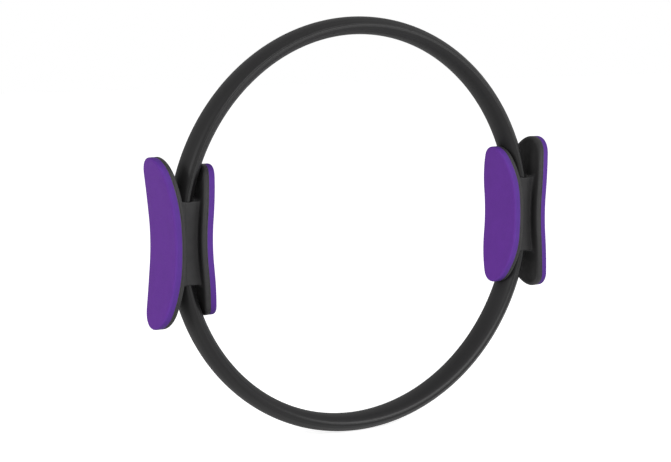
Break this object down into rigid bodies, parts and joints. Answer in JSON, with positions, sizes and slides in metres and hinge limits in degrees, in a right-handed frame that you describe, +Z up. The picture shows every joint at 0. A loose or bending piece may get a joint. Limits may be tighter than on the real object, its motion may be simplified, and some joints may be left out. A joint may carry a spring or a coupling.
{
  "type": "pilates ring",
  "caption": "Springy exercise hoop with curved, padded handles on opposite sides that are squeezed together or pressed apart.",
  "frame": {"origin": "centre of the hoop, midway between the handles", "axes": "+X through the middle of both handles, +Y along the hoop's axis, away from the pictured side, +Z up with the ring on edge"},
  "size_m": [0.4156, 0.053, 0.38],
  "materials": {
    "hoop_cover": "satin",
    "handle_shell": "satin",
    "foam": "matte",
    "film": "matte",
    "spring_strip": "satin",
    "screw": "satin"
  },
  "bodies": {
    "lower_hoop": {"lower_sleeve": "hoop_cover", "lower_strip": "spring_strip"},
    "left_handle": {"left_outer_pad": "foam", "left_outer_tape": "film", "left_outer_shell": "handle_shell", "left_inner_pad": "foam", "left_inner_tape": "film", "left_inner_shell": "handle_shell", "left_screws": "screw"},
    "right_handle": {"right_outer_pad": "foam", "right_outer_tape": "film", "right_outer_shell": "handle_shell", "right_inner_pad": "foam", "right_inner_tape": "film", "right_inner_shell": "handle_shell", "right_screws": "screw"},
    "upper_left_hoop": {"upper_left_sleeve": "hoop_cover", "upper_left_strip": "spring_strip"},
    "upper_right_hoop": {"upper_right_sleeve": "hoop_cover", "upper_right_strip": "spring_strip"}
  },
  "joints": [
    {"name": "left_squeeze", "type": "slide", "parent": "lower_hoop", "child": "left_handle", "axis": [0.7366, 0, 0.6763], "range_m": [-0.011, 0.034], "stiffness_N_per_m": 1100, "deforming": ["lower_sleeve", "lower_strip"]},
    {"name": "right_squeeze", "type": "slide", "parent": "lower_hoop", "child": "right_handle", "axis": [-0.7366, 0, 0.6763], "range_m": [-0.011, 0.034], "stiffness_N_per_m": 1100},
    {"name": "upper_left_rise", "type": "slide", "parent": "left_handle", "child": "upper_left_hoop", "axis": [-0.7366, 0, 0.6763], "range_m": [-0.011, 0.034], "stiffness_N_per_m": 1100, "deforming": ["upper_left_sleeve", "upper_left_strip"]},
    {"name": "upper_right_rise", "type": "slide", "parent": "right_handle", "child": "upper_right_hoop", "axis": [0.7366, 0, 0.6763], "range_m": [-0.011, 0.034], "stiffness_N_per_m": 1100, "deforming": ["upper_right_sleeve", "upper_right_strip"]}
  ],
  "couplings": [
    {"joint": "right_squeeze", "follows": "left_squeeze", "ratio": 1},
    {"joint": "upper_left_rise", "follows": "left_squeeze", "ratio": 1},
    {"joint": "upper_right_rise", "follows": "left_squeeze", "ratio": 1}
  ]
}
